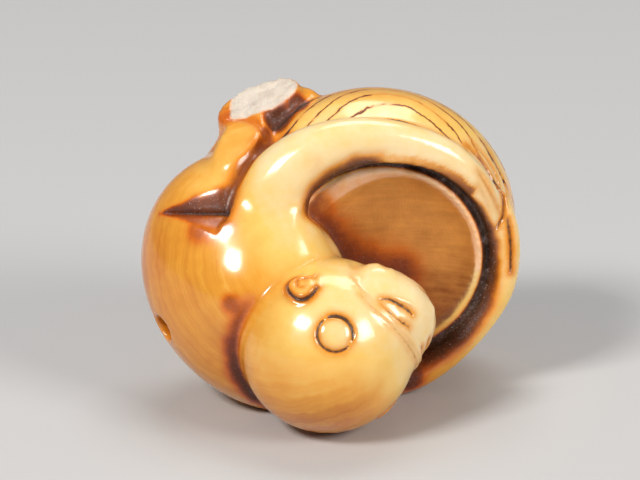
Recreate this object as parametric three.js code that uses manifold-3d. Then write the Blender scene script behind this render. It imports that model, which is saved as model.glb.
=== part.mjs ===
// A netsuke carved from one piece of ivory: a crouching child hugs a round wooden vessel and
// bends over its mouth. It rests as it is set down, on the crown of the head, the back and
// the hidden right foot, with the mouth of the vessel turned to the front.
//
// Units are mm. The parts are laid out in the carving's own frame: +X to the right, +Y to the
// back, +Z up, facing the mouth of the vessel. The whole is then leaned back to how it rests.

import * as THREE from "three";
import { mergeVertices } from "three/addons/utils/BufferGeometryUtils.js";
import Module from "manifold-3d";

const wasm = await Module();
wasm.setup();

// ---- driving dimensions ----

const leanBack = THREE.MathUtils.degToRad(20);   // from the carving's frame to how it rests
const floorHeight = -17.0;                       // where the rest flats are cut, leaned frame

const head = {
  centre: [-0.25, -5.2, -9.95],
  radius: 9.6,
  forward: [0.908, -0.398, 0.133],               // the way the face looks
  crown: [-0.145, -0.592, -0.786],               // from the chin to the top of the skull
};
const face = {
  // each: forward, left and up of the head's centre, then radii along the same three
  mask: { at: [4.6, 0, -2.2], radii: [7.4, 7.2, 5.8] },
  muzzle: { at: [7.4, 0, -4.6], radii: [3.6, 3.4, 2.5] },
  chin: { at: [6.4, 0, -6.6], radii: [2.6, 2.7, 1.9] },
  nose: { at: [11.0, 0, -3.0], radii: [1.25, 1.2, 1.1] },
  noseBridge: { at: [10.2, 0, -1.8], radii: [1.5, 0.7, 1.6] },
};
const cheek = { at: [6.6, 4.0, -3.8], radii: [3.2, 2.9, 2.7] };
const tuft = { azimuth: 57, elevation: 27, ringRadius: 1.95, grooveRadius: 0.42 };
const ear = { azimuth: 85, elevation: -1, height: 3.0, width: 2.2, thickness: 0.62 };

const vessel = {
  mouthCentre: [5.7, 0, -1.3],
  mouthAxis: [0.09, -0.93, -0.36],               // out of the mouth
  lipRadius: 11.2,
  mouthRadius: 12.3,                             // outer edge of the groove round the lip
  bodyAxis: [0.13, -0.9, -0.5],                  // the mouth is cut a little off square
  bodyRadius: 16.3,
  widestDepth: 9.4,                              // below the lip
  height: 19.4,
  baseRadius: 6.6,
  dishDepth: 3.2,
};

// Both arms lie along the vessel's mouth: [angle round it in degrees, distance from its axis,
// height over the lip, radius of the arm there].
const leftArm = [
  [188, 13.0, -0.8, 5.2], [163, 14.2, -0.6, 4.7], [142, 14.8, -0.4, 4.0], [122, 15.1, -0.4, 3.2],
  [103, 14.9, -0.5, 2.5], [85, 14.4, -0.6, 2.15], [64, 14.0, -0.8, 2.0], [49, 13.7, -1.0, 1.9],
  [34, 13.8, -1.3, 1.4], [24, 13.6, -1.4, 0.9],
];
const rightArm = [
  [-128, 14.2, -2.0, 3.6], [-103, 14.0, -1.2, 2.7], [-78, 14.2, -0.9, 1.8], [-60, 13.7, -0.9, 1.6],
  [-40, 13.4, -0.9, 1.5], [-20, 13.8, -0.9, 1.45], [-4, 14.1, -1.0, 1.4], [12, 14.6, -1.6, 1.15],
  [26, 14.9, -2.4, 0.9],
];

const back = { centre: [-6.3, 2.3, -2.95], radii: [15.8, 11.2, 13.5], tilt: 46 };
const chest = { centre: [-7.5, -1.0, -3.8], radii: [9.5, 8.5, 9.2] };
const neck = [[-7.3, -3.2, 6.4, 3.4], [-5.5, -3.6, 1.6, 4.6], [-3.6, -3.4, -4.6, 5.9],
              [-1.0, -4.4, -8.0, 6.2]];
const leftLeg = [[-13.2, 0.6, 4.4, 4.6], [-10.6, -1.2, 8.4, 3.2], [-9.6, -0.4, 12.2, 2.7],
                 [-8.6, 2.4, 13.2, 2.5]];
const leftCalf = [[-9.5, 3.0, 1.0, 8.0], [-9.6, 5.6, 8.0, 5.4], [-8.4, 6.0, 13.0, 3.4]];
const leftStump = { centre: [-7.3, 4.9, 14.9], along: 5.4, across: 3.2, tall: 6.6 };
const breakFace = { point: [-6.8, 3.9, 18.1], normal: [-0.3, -0.6, 0.74], run: [0.89, 0.1, 0.44] };
const toeNub = { centre: [-2.7, 5.6, 16.9], radius: 1.6 };
const rightLeg = [[-10.0, 3.0, -1.0, 8.0], [-6.5, 10.8, -6.2, 5.4], [1.5, 14.2, -9.6, 3.5],
                  [8.5, 13.8, -8.8, 2.7]];
const hipFold = [[-18.4, -2.6, 4.3, 0.5], [-15.0, -4.9, 4.5, 1.5], [-11.4, -5.9, 5.6, 2.6]];
const cordTunnel = [[-22.5, -2.6, -9.6, 1.6], [-15.5, 1.5, -7.0, 1.4], [-15.0, 5.5, -4.0, 1.4],
                    [-19.5, 12.0, -1.0, 1.6]];

// ---- geometry helpers ----

const vector = ([x, y, z]) => new THREE.Vector3(x, y, z);

const leaned = new THREE.Matrix4().makeRotationX(-leanBack);

// A closed three.js geometry, taken from the carving's frame to how the piece rests, as a solid.
function solid(geometry) {
  const shape = geometry.clone().applyMatrix4(leaned);
  shape.deleteAttribute("normal");
  shape.deleteAttribute("uv");
  const merged = mergeVertices(shape, 1e-5);
  const mesh = new wasm.Mesh({
    numProp: 3,
    vertProperties: Float32Array.from(merged.attributes.position.array),
    triVerts: Uint32Array.from(merged.index.array),
  });
  return new wasm.Manifold(mesh);
}

function joined(solids) {
  return solids.reduce((sum, next) => sum.add(next));
}

// An ellipsoid whose three radii lie along the axes of a frame.
function ball(centre, radii, axes, around = 28, down = 16) {
  const geometry = new THREE.SphereGeometry(1, around, down);
  geometry.scale(...radii);
  if (axes) geometry.applyMatrix4(new THREE.Matrix4().makeBasis(...axes));
  geometry.translate(...centre.toArray());
  return solid(geometry);
}

// A capsule bent along a smooth curve through points that carry their own radius.
function limb(stations, around = 14, steps = 3 * (stations.length - 1), capRings = 3) {
  const curve = new THREE.CatmullRomCurve3(stations.map(([point]) => point));
  const radii = new THREE.CatmullRomCurve3(stations.map(([, r], i) => new THREE.Vector3(i, r, 0)));
  const frames = curve.computeFrenetFrames(steps);
  const geometry = new THREE.CapsuleGeometry(1, steps, capRings, around, steps);
  const places = geometry.attributes.position;
  const local = new THREE.Vector3();
  for (let i = 0; i < places.count; i += 1) {
    local.fromBufferAttribute(places, i);
    const height = THREE.MathUtils.clamp(local.y + steps / 2, 0, steps);
    const step = Math.round(height);
    const beyond = local.y + steps / 2 - height;
    const share = curve.getUtoTmapping(step / steps);
    const radius = radii.getPoint(share).y;
    const place = curve.getPoint(share)
      .addScaledVector(frames.tangents[step], beyond * radius)
      .addScaledVector(frames.normals[step], local.x * radius)
      .addScaledVector(frames.binormals[step], -local.z * radius);
    places.setXYZ(i, place.x, place.y, place.z);
  }
  return solid(geometry);
}

const stationsOf = (rows) => rows.map(([x, y, z, r]) => [new THREE.Vector3(x, y, z), r]);

// Three axes at right angles, from a main one and one near the second.
function frameOf(main, near) {
  const first = main.clone().normalize();
  const third = new THREE.Vector3().crossVectors(first, near).normalize();
  return [first, new THREE.Vector3().crossVectors(third, first), third];
}

// ---- the vessel ----

const mouthCentre = vector(vessel.mouthCentre);
const [mouthAxis, mouthRight, mouthUp] = frameOf(vector(vessel.mouthAxis), new THREE.Vector3(1, 0, 0));

// A point near the mouth, by its angle round it, distance from the axis and height over the lip.
function mouthPoint(angle, reach, lift) {
  const turn = THREE.MathUtils.degToRad(angle);
  return mouthCentre.clone()
    .addScaledVector(mouthRight, reach * Math.cos(turn))
    .addScaledVector(mouthUp, reach * Math.sin(turn))
    .addScaledVector(mouthAxis, lift);
}

const alongMouth = (rows) => rows.map(([angle, reach, lift, r]) => [mouthPoint(angle, reach, lift), r]);

// A profile of [radius, depth below the lip] turned about an axis through the mouth's centre.
function turned(profile, mainAxis, around = 40) {
  const points = profile.map(([radius, depth]) => new THREE.Vector2(radius, -depth));
  const geometry = new THREE.LatheGeometry(points, around);
  const [axis, right, up] = frameOf(mainAxis, mouthRight);
  const basis = new THREE.Matrix4().makeBasis(right, axis, up.negate());
  return solid(geometry.applyMatrix4(basis.setPosition(mouthCentre)));
}

// The hollow of the mouth: a shallow dish, its lip, and the groove between the lip and the arms.
function mouthHollow() {
  const { lipRadius, mouthRadius, dishDepth } = vessel;
  const over = 14;
  const hollow = [[0, -over], [mouthRadius + 1.2, -over], [mouthRadius, -0.6], [mouthRadius - 0.2, 1.7],
                  [lipRadius + 0.5, 1.9], [lipRadius, 0.5], [lipRadius - 0.7, 0.6]];
  for (const share of [0.85, 0.62, 0.34, 0]) {
    hollow.push([lipRadius * share, dishDepth * (1 - share ** 2.6) ** 0.7]);
  }
  return turned(hollow.reverse(), mouthAxis);
}

function vesselBody() {
  const { mouthRadius, bodyRadius, widestDepth, height, baseRadius } = vessel;
  const wall = new THREE.SplineCurve([
    new THREE.Vector2(mouthRadius + 0.9, 0.2), new THREE.Vector2(bodyRadius - 1.4, 3.4),
    new THREE.Vector2(bodyRadius, widestDepth), new THREE.Vector2(bodyRadius - 2.6, height - 3.6),
    new THREE.Vector2(baseRadius + 1.6, height - 0.5),
  ]);
  const profile = wall.getPoints(11).map((point) => [point.x, point.y]);
  return turned([[0, height], [baseRadius, height], ...profile.reverse(), [0, 0.2]],
    vector(vessel.bodyAxis));
}

// ---- the head ----

const headCentre = vector(head.centre);
const [headForward, headUp, headRight] = frameOf(vector(head.forward), vector(head.crown));
const headLeft = headRight.clone().negate();

const inHead = ([forward, left, up]) => headCentre.clone()
  .addScaledVector(headForward, forward)
  .addScaledVector(headLeft, left)
  .addScaledVector(headUp, up);

const headAxes = [headForward, headLeft, headUp];

function headDirection(azimuth, elevation) {
  const [turn, rise] = [azimuth, elevation].map(THREE.MathUtils.degToRad);
  return new THREE.Vector3()
    .addScaledVector(headForward, Math.cos(turn) * Math.cos(rise))
    .addScaledVector(headLeft, Math.sin(turn) * Math.cos(rise))
    .addScaledVector(headUp, Math.sin(rise));
}

// A ring lying on the skull, as the tuft's groove and the ear's rim are.
function skullRing(azimuth, elevation, width, height, tube, arc, lift) {
  const outward = headDirection(azimuth, elevation);
  const [out, up, side] = frameOf(outward, headUp);
  const geometry = new THREE.TorusGeometry(1, tube, 6, 18, arc);
  geometry.scale(width, height, 1);
  geometry.applyMatrix4(new THREE.Matrix4().makeBasis(side.negate(), up, out));
  geometry.translate(...headCentre.clone().addScaledVector(outward, head.radius + lift).toArray());
  return solid(geometry);
}

function faceForms() {
  const forms = Object.values(face).map(({ at, radii }) => ball(inHead(at), radii, headAxes, 16, 10));
  for (const side of [-1, 1]) {
    const [forward, left, up] = cheek.at;
    forms.push(ball(inHead([forward, side * left, up]), cheek.radii, headAxes, 12, 8));
  }
  return forms;
}


function headForms() {
  const forms = [ball(headCentre, Array(3).fill(head.radius), headAxes, 30, 18), ...faceForms()];
  for (const side of [-1, 1]) {
    const rim = [ear.width / 2, ear.height / 2, ear.thickness / (ear.width / 2), 2 * Math.PI, 0];
    forms.push(skullRing(side * ear.azimuth, ear.elevation, ...rim));
  }
  return forms;
}

function headGrooves() {
  const cuts = [];
  const { azimuth, elevation, ringRadius, grooveRadius } = tuft;
  for (const side of [-1, 1]) {
    const ring = [ringRadius, ringRadius, grooveRadius / ringRadius, 2 * Math.PI, -0.1];
    cuts.push(skullRing(side * azimuth, elevation, ...ring));
  }
  return cuts;
}

// ---- body and limbs ----

function backForm() {
  const tilt = THREE.MathUtils.degToRad(back.tilt);
  const long = new THREE.Vector3(-Math.cos(tilt), 0, Math.sin(tilt));
  const depth = new THREE.Vector3(0, 1, 0);
  const short = new THREE.Vector3().crossVectors(long, depth);
  return ball(vector(back.centre), back.radii, [long, depth, short], 30, 18);
}

function stumpForm() {
  const { centre, along, across, tall } = leftStump;
  const [normal, run, depth] = frameOf(vector(breakFace.normal), vector(breakFace.run));
  return ball(vector(centre), [tall, along, across], [normal, run, depth], 22, 14);
}

// Everything over the broken face of the left foot.
function breakCut() {
  const size = 16;
  const [normal, run, depth] = frameOf(vector(breakFace.normal), vector(breakFace.run));
  const geometry = new THREE.BoxGeometry(size, size, size);
  geometry.applyMatrix4(new THREE.Matrix4().makeBasis(normal, run, depth));
  geometry.translate(...vector(breakFace.point).addScaledVector(normal, size / 2).toArray());
  return solid(geometry);
}

// Everything under the plane that the piece rests on.
function belowFloor() {
  const size = 80;
  const geometry = new THREE.BoxGeometry(size, size, size);
  geometry.translate(0, 0, floorHeight - size / 2);
  geometry.applyMatrix4(leaned.clone().invert());
  return solid(geometry);
}

function netsukeForm() {
  const core = joined([vesselBody(), backForm()]).subtract(mouthHollow());
  const limbs = [
    limb(stationsOf(leftLeg)), limb(stationsOf(leftCalf)), limb(stationsOf(rightLeg)),
    limb(alongMouth(leftArm), 16), limb(alongMouth(rightArm), 14),
    ball(vector(chest.centre), chest.radii, null, 26, 16),
  ];
  const stump = stumpForm().subtract(breakCut());
  const nub = ball(vector(toeNub.centre), Array(3).fill(toeNub.radius), null, 12, 8);
  const body = joined([core, stump, nub, ...limbs]).subtract(limb(stationsOf(hipFold), 12));
  return joined([body, limb(stationsOf(neck), 18), ...headForms()])
    .subtract(joined(headGrooves()))
    .subtract(limb(stationsOf(cordTunnel), 12))
    .subtract(belowFloor());
}

// ---- the finished part ----

function netsukeMesh() {
  const { vertProperties, triVerts } = netsukeForm().getMesh();
  const geometry = new THREE.BufferGeometry();
  geometry.setAttribute("position", new THREE.BufferAttribute(vertProperties, 3));
  geometry.setIndex(new THREE.BufferAttribute(triVerts, 1));
  geometry.computeBoundingBox();
  const { min, max } = geometry.boundingBox;
  geometry.computeVertexNormals();
  const material = new THREE.MeshStandardMaterial({ color: 0xe3b36a, roughness: 0.32, metalness: 0 });
  const mesh = new THREE.Mesh(geometry, material);
  mesh.name = "netsuke";
  mesh.position.set(-(min.x + max.x) / 2, -(min.y + max.y) / 2, -min.z);
  return mesh;
}

const part = new THREE.Group();
part.add(netsukeMesh());

export default part;
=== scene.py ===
import math
import bpy
import numpy as np
from mathutils import Matrix, Vector
from mathutils.bvhtree import BVHTree


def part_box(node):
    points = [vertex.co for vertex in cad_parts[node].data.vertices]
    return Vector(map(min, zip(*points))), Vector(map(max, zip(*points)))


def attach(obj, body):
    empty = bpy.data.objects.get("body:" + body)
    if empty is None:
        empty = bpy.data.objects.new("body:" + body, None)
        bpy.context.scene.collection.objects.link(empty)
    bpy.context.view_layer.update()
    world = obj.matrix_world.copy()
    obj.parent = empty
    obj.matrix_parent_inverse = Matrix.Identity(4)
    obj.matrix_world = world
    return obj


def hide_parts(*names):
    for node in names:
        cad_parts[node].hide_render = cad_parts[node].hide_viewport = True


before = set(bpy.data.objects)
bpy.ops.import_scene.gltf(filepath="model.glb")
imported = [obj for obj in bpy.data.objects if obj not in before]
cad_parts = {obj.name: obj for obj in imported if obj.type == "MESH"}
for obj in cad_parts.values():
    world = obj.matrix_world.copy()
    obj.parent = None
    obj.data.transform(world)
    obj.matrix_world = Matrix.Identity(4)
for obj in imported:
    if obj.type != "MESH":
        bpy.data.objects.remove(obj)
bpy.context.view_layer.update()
print("frame loaded")

# The carving is built in millimetres with the vessel's mouth towards -Y and the child lying on the left,
# then leaned back, scaled to metres and set down on the floor by placeOnFloor.
carving = {
    "leanBack": math.radians(20),
    "floorHeight": -17,
    "roughVoxel": 0.36,
    "fineVoxel": 0.34,
    "toolVoxel": 0.25,
    "blendPlaces": [((-6.5, -7, 0.5), 7.5), ((-13, -4, -6), 11), ((-9, -6, -8), 9),
                    ((-13.5, -1, 7), 5.5), ((-9.8, 0, 11), 3), ((-2.5, -5, 2), 5),
                    ((-5, -6.5, 6.5), 4.5)],   # centre, reach
    "blendSide": (-10, -16),   # x where the left side's blending starts and where it is full
    "blendRounds": 44, "headRounds": 6, "lastRounds": 3,
}


def unit(values):
    return Vector(values).normalized()


def frameOf(main, near):
    # three square axes: main, the part of near that is square to it, and the one left over
    first = unit(main)
    second = (Vector(near) - first * Vector(near).dot(first)).normalized()
    return first, second, first.cross(second)


def selectOnly(*pieces):
    bpy.ops.object.select_all(action="DESELECT")
    for piece in pieces:
        piece.select_set(True)
    bpy.context.view_layer.objects.active = pieces[0]


def addToScene(thing):
    bpy.context.scene.collection.objects.link(thing)
    return thing


def joinForms(name, forms):
    selectOnly(*forms)
    bpy.ops.object.join()
    joined = bpy.context.object
    joined.name = joined.data.name = name
    return joined


def copyForm(piece, name):
    twin = piece.copy()
    twin.data = piece.data.copy()
    twin.name = twin.data.name = name
    addToScene(twin)
    return twin


def finishWith(piece, kind, **settings):
    selectOnly(piece)
    modifier = piece.modifiers.new(kind.title(), kind)
    for key, value in settings.items():
        setattr(modifier, key, value)
    bpy.ops.object.modifier_apply(modifier=modifier.name)


def remesh(piece, voxel):
    finishWith(piece, "REMESH", mode="VOXEL", voxel_size=voxel, adaptivity=0)


def cutWith(piece, tool, voxel=None):
    if voxel:
        remesh(tool, voxel)
    finishWith(piece, "BOOLEAN", operation="DIFFERENCE", object=tool, solver="MANIFOLD")
    bpy.data.objects.remove(tool)


def softenWhere(piece, weights, rounds):
    # smooths a piece only where weights, one number a vertex, say so
    group = piece.vertex_groups.new(name="soft")
    steps = np.round(np.clip(weights, 0, 1) * 16).astype(int)
    for step in range(1, 17):
        chosen = np.nonzero(steps == step)[0]
        if len(chosen):
            group.add(chosen.tolist(), step / 16, "REPLACE")
    finishWith(piece, "SMOOTH", factor=0.5, iterations=rounds, vertex_group="soft")
    piece.vertex_groups.remove(piece.vertex_groups["soft"])


def valuesOf(items, key, width):
    values = np.empty(len(items) * width)
    items.foreach_get(key, values)
    return values.reshape(-1, width)


def pointsOf(piece):
    return valuesOf(piece.data.vertices, "co", 3)


def normalsOf(piece):
    return valuesOf(piece.data.vertex_normals, "vector", 3)


def edgesOf(piece):
    return valuesOf(piece.data.edges, "vertices", 2).astype(int)


def ramp(low, high, value):
    return max(0, min(1, (value - low) / (high - low)))


def ease(low, high, values):
    share = np.clip((values - low) / (high - low), 0, 1)
    return share * share * (3 - 2 * share)


def fade(low, high, values):
    return 1 - ease(low, high, values)


def lengths(offsets):
    return np.linalg.norm(offsets, axis=1)


def nearPoint(points, centre, reach):
    # 1 at centre, falling smoothly to 0 at reach
    return 1 - ease(0, reach, lengths(points - centre))


def smoothRoute(rows, steps):
    # Catmull-Rom through the rows, each a point and any further numbers such as its radius
    rows = np.array(rows, float)
    count = len(rows)
    route = []
    for index in range(steps + 1):
        place = index / steps * (count - 1)
        at = min(int(place), count - 2)
        share = place - at
        before = rows[at - 1] if at > 0 else 2 * rows[0] - rows[1]
        after = rows[at + 2] if at + 2 < count else 2 * rows[-1] - rows[-2]
        start, end = rows[at], rows[at + 1]
        route.append(0.5 * (2 * start + (end - before) * share
                            + (2 * before - 5 * start + 4 * end - after) * share ** 2
                            + (3 * start - before - 3 * end + after) * share ** 3))
    return np.array(route)


def ball(centre, radii, axes=None, around=64, down=32):
    bpy.ops.object.select_all(action="DESELECT")
    bpy.ops.mesh.primitive_uv_sphere_add(segments=around, ring_count=down, radius=1)
    form = bpy.context.object
    form.scale = radii
    if axes:
        form.rotation_euler = Matrix(axes).transposed().to_euler()
    form.location = centre
    bpy.ops.object.transform_apply(location=True, rotation=True, scale=True)
    return form


def limb(rows):
    # a limb follows a route of points, each with its own radius, and is round at both ends
    route = smoothRoute(rows, 6 * (len(rows) - 1))
    curve = bpy.data.curves.new("limb", "CURVE")
    curve.dimensions = "3D"
    curve.bevel_depth = 1
    curve.bevel_resolution = 8
    curve.use_fill_caps = True
    spline = curve.splines.new("POLY")
    spline.points.add(len(route) - 1)
    for point, row in zip(spline.points, route):
        point.co = (*row[:3], 1)
        point.radius = row[3]
    tube = addToScene(bpy.data.objects.new("limb", curve))
    selectOnly(tube)
    bpy.ops.object.convert(target="MESH")
    ends = [ball(row[:3], (row[3],) * 3, around=32, down=16) for row in (route[0], route[-1])]
    return joinForms("limb", [tube, *ends])


# Vessel: an open round bowl whose mouth faces the front, with a dished well inside the lip.
vessel = {
    "mouthCentre": (5.7, 0, -1.3),
    "mouthAxis": (0.09, -0.93, -0.36),
    "bodyAxis": (0.13, -0.9, -0.5),
    "lipRadius": 11.2,
    "mouthRadius": 12.3,
    "bodyRadius": 16.3,
    "widestDepth": 9.4,
    "height": 19.4,
    "baseRadius": 6.6,
    "dishDepth": 3.2,
    "dishEdge": 0.93,
    "cutHeight": 14,
    "broadLip": {"angle": 136, "breadth": 2.1, "squeeze": 0.4, "fade": 1.25, "power": 1.5},
    "armClearing": {"ends": (130, 148), "drawnIn": 2.2, "straight": (50, 90), "narrowed": 0.9},
    "around": 160,
}
mouthAxis, mouthRight, mouthUp = frameOf(vessel["mouthAxis"], (1, 0, 0))


def mouthPoint(angle, reach, lift):
    # round the mouth: degrees from its right-hand side, distance from its centre, height over its lip
    turn = math.radians(angle)
    centre = Vector(vessel["mouthCentre"])
    return centre + mouthRight * (reach * math.cos(turn)) + mouthUp * (reach * math.sin(turn)) + mouthAxis * lift


def alongMouth(rows):
    return [(*mouthPoint(*row[:3]), row[3]) for row in rows]


def turned(name, profile, mainAxis):
    # spins a profile of (radius, depth) pairs about the axis through the mouth's centre
    main, side, third = frameOf(mainAxis, (1, 0, 0))
    mesh = bpy.data.meshes.new(name)
    mesh.from_pydata([(radius, 0, -depth) for radius, depth in profile],
                     [(i, i + 1) for i in range(len(profile) - 1)], [])
    form = addToScene(bpy.data.objects.new(name, mesh))
    selectOnly(form)
    bpy.ops.object.mode_set(mode="EDIT")
    bpy.ops.mesh.select_all(action="SELECT")
    bpy.ops.mesh.spin(steps=vessel["around"], angle=math.tau, center=(0, 0, 0), axis=(0, 0, 1))
    bpy.ops.mesh.select_all(action="SELECT")
    bpy.ops.mesh.remove_doubles(threshold=1e-4)
    bpy.ops.mesh.normals_make_consistent(inside=False)
    bpy.ops.object.mode_set(mode="OBJECT")
    mesh.transform(Matrix.Translation(vessel["mouthCentre"]) @ Matrix((side, third, main)).transposed().to_4x4())
    return form


def wallProfile():
    wide, deep = vessel["bodyRadius"], vessel["height"]
    rows = [(vessel["mouthRadius"] + 0.9, 0.2), (wide - 1.4, 3.4), (wide, vessel["widestDepth"]),
            (wide - 2.6, deep - 3.6), (vessel["baseRadius"] + 1.6, deep - 0.5)]
    return [tuple(row) for row in smoothRoute(rows, 40)]


def vesselWall():
    deep = vessel["height"]
    return turned("vesselWall", [(0, 0.2), *wallProfile(), (vessel["baseRadius"], deep), (0, deep)], vessel["bodyAxis"])


def lipBroadness(turn):
    # 1 where the lip is broadest, falling to 0 with the turn away from there, in radians
    broad = vessel["broadLip"]
    return np.clip(np.cos(np.clip(turn * broad["fade"], -math.pi / 2, math.pi / 2)), 0, 1) ** broad["power"]


def mouthHollow(clearArm=False):
    # the cut that leaves the lip, the groove round it and the dish, with a broader lip at the upper left. For the
    # arm its front wall runs straight forwards there, so that the groove shows from the front.
    lip, mouth, rise, edge = (vessel[key] for key in ("lipRadius", "mouthRadius", "cutHeight", "dishEdge"))
    broad, clearing = vessel["broadLip"], vessel["armClearing"]
    dish = [(lip * share, vessel["dishDepth"] * (1 - share ** 2.6) ** 0.7) for share in np.linspace(edge, 0, 16)]
    profile = [(0, -rise), (mouth + 1.2, -rise), (mouth, -0.6), (mouth - 0.2, 1.7), (lip + 0.5, 1.9),
               (lip + 0.1, 0.5), (lip - 0.25, 0.3), (lip - 0.5, 0.4), *dish]
    hollow = turned("mouthHollow", profile, vessel["mouthAxis"])
    for vertex in hollow.data.vertices:
        offset = vertex.co - Vector(vessel["mouthCentre"])
        depth = -offset.dot(mouthAxis)
        across = offset + mouthAxis * depth
        angle = math.atan2(across.dot(mouthUp), across.dot(mouthRight))
        near = lipBroadness((angle - math.radians(broad["angle"]) + math.pi) % math.tau - math.pi)
        if across.length < lip * (edge + 0.001) and depth > 0.2:
            vertex.co -= across * (near * broad["breadth"] / lip)
        elif depth > -1:
            vertex.co -= across * (near * broad["squeeze"] / lip)
        if clearArm and depth < 1:
            outwards = across.normalized()
            if across.length > mouth - 1:
                vertex.co -= outwards * clearing["drawnIn"] * ramp(*clearing["ends"], math.degrees(angle) % 360)
            if depth < -1:
                upper = ramp(*clearing["straight"], math.degrees(angle))
                vertex.co += (Vector((0, -1, 0)) - mouthAxis) * rise * upper - outwards * clearing["narrowed"] * upper
    return hollow


# Child: a rounded back, chest and neck, both arms round the vessel's mouth, and the legs beside it.
child = {
    "leftArm": [(188, 13, -0.8, 5.2), (163, 14.2, -0.6, 4.7), (142, 14.8, -0.4, 4), (122, 15.1, -0.4, 3.2),
                (103, 14.9, -0.5, 2.5), (85, 14.4, -0.6, 2.15), (64, 14, -0.8, 2), (49, 13.7, -1, 1.9),
                (34, 13.8, -1.3, 1.4), (24, 13.6, -1.4, 0.9)],
    "rightArm": [(-128, 14.2, -2, 3.6), (-103, 14, -1.2, 2.7), (-78, 14.2, -0.9, 1.8), (-60, 13.7, -0.9, 1.6),
                 (-40, 13.4, -0.9, 1.5), (-20, 13.8, -0.9, 1.45), (-4, 14.1, -1, 1.4), (12, 14.6, -1.6, 1.15),
                 (26, 14.9, -2.4, 0.9)],
    "armTurn": 147.7,
    "armCleared": {"limbs": 30, "body": 6.5},
    "back": {"centre": (-6.3, 2.3, -2.95), "radii": (15.8, 11.2, 13.5), "tilt": 46},
    "chest": {"centre": (-7.5, -1, -3.8), "radii": (9.5, 8.5, 9.2)},
    "neck": [(-7.3, -3.2, 6.4, 3.4), (-5.5, -3.6, 1.6, 4.6), (-3.6, -3.4, -4.6, 5.9), (-1, -4.4, -8, 6.2)],
    "leftLeg": [(-13.2, 0.6, 4.4, 4.6), (-10.6, -1.2, 8.4, 3.2), (-9.6, -0.4, 12.2, 2.7), (-8.6, 2.4, 13.2, 2.5)],
    "leftCalf": [(-9.5, 3, 1, 8), (-9.6, 5.6, 8, 5.4), (-8.4, 6, 13, 3.4)],
    "leftStump": {"centre": (-7.3, 4.9, 14.9), "along": 5.4, "across": 3.2, "tall": 6.6},
    "breakFace": {"point": (-6.8, 3.9, 18.1), "normal": (-0.3, -0.6, 0.74), "run": (0.89, 0.1, 0.44)},
    "toeNub": {"centre": (-2.7, 5.6, 16.9), "radius": 1.6},
    "rightLeg": [(-10, 3, -1, 8), (-6.5, 10.8, -6.2, 5.4), (1.5, 14.2, -9.6, 3.5), (8.5, 13.8, -8.8, 2.7)],
    "cordTunnel": [(-22.5, -2.6, -9.6, 1.6), (-15.5, 1.5, -7, 1.4), (-15, 5.5, -4, 1.4),
                   (-19.5, 12, -1, 1.6)],
}


def backForm():
    tilt = math.radians(child["back"]["tilt"])
    axes = ((-math.cos(tilt), 0, math.sin(tilt)), (0, 1, 0), (-math.sin(tilt), 0, -math.cos(tilt)))
    return ball(child["back"]["centre"], child["back"]["radii"], axes)


def breakAxes():
    return frameOf(child["breakFace"]["normal"], child["breakFace"]["run"])


def stumpForm():
    stump = child["leftStump"]
    normal, run, across = breakAxes()
    return ball(stump["centre"], (stump["along"], stump["across"], stump["tall"]), (run, across, normal))


def block(low, high, axes, point):
    # a box between two corners, in the axes given, about a point
    size = Vector(high) - Vector(low)
    middle = (Vector(high) + Vector(low)) / 2
    bpy.ops.object.select_all(action="DESELECT")
    bpy.ops.mesh.primitive_cube_add(size=1)
    form = bpy.context.object
    form.data.transform(Matrix.Translation(middle) @ Matrix.Diagonal((*size, 1)))
    form.data.transform(Matrix.Translation(point) @ Matrix(axes).transposed().to_4x4())
    return form


# Head: a shaven child's head held down against the mouth's lower left, crown on the floor.
head = {
    "centre": (-0.25, -5.2, -9.95),
    "radius": 9.6,
    "forward": (0.908, -0.398, 0.133),
    "crown": (-0.145, -0.592, -0.786),
    "forms": {
        "mask": ((4.6, 0, -2.2), (7.4, 7.2, 5.8)), "muzzle": ((7.4, 0, -4.6), (3.6, 3.4, 2.5)),
        "chin": ((6.4, 0, -6.6), (2.6, 2.7, 1.9)), "nose": ((11, 0, -3), (1.25, 1.2, 1.1)),
        "noseBridge": ((10.2, 0, -1.8), (1.5, 0.7, 1.6)),
        "leftCheek": ((6.6, 4, -3.8), (3.2, 2.9, 2.7)), "rightCheek": ((6.6, -4, -3.8), (3.2, 2.9, 2.7)),
    },   # place ahead, left and up from the centre, radii
    "tuft": {"azimuth": 57, "elevation": 27, "ringRadius": 1.95, "reach": 9.4},
    "markReach": 9.9,
}
headForward, headUp, headRight = frameOf(head["forward"], head["crown"])
headLeft = -headRight


def inHead(ahead, left, up):
    return Vector(head["centre"]) + headForward * ahead + headLeft * left + headUp * up


def headDirection(azimuth, elevation):
    turn, rise = math.radians(azimuth), math.radians(elevation)
    return (headForward * math.cos(turn) + headLeft * math.sin(turn)) * math.cos(rise) + headUp * math.sin(rise)


def headForm():
    axes = (headForward, headLeft, headUp)
    forms = [ball(head["centre"], (head["radius"],) * 3, axes, 96, 48)]
    forms += [ball(inHead(*place), radii, axes) for place, radii in head["forms"].values()]
    return joinForms("headForm", forms)


def routeGap(points, route):
    # each point's distance to a route, and how far along the route it is, from 0 to 1
    best = np.full(len(points), 1e3)
    place = np.zeros(len(points))
    near = np.nonzero(((points > route.min(axis=0) - 4) & (points < route.max(axis=0) + 4)).all(axis=1))[0]
    close = points[near]
    for index in range(len(route) - 1):
        start, step = route[index], route[index + 1] - route[index]
        share = np.clip((close - start) @ step / (step @ step + 1e-9), 0, 1)
        gap = lengths(close - start - share[:, None] * step)
        nearer = gap < best[near]
        best[near[nearer]] = gap[nearer]
        place[near[nearer]] = (index + share[nearer]) / (len(route) - 1)
    return best, place


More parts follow.
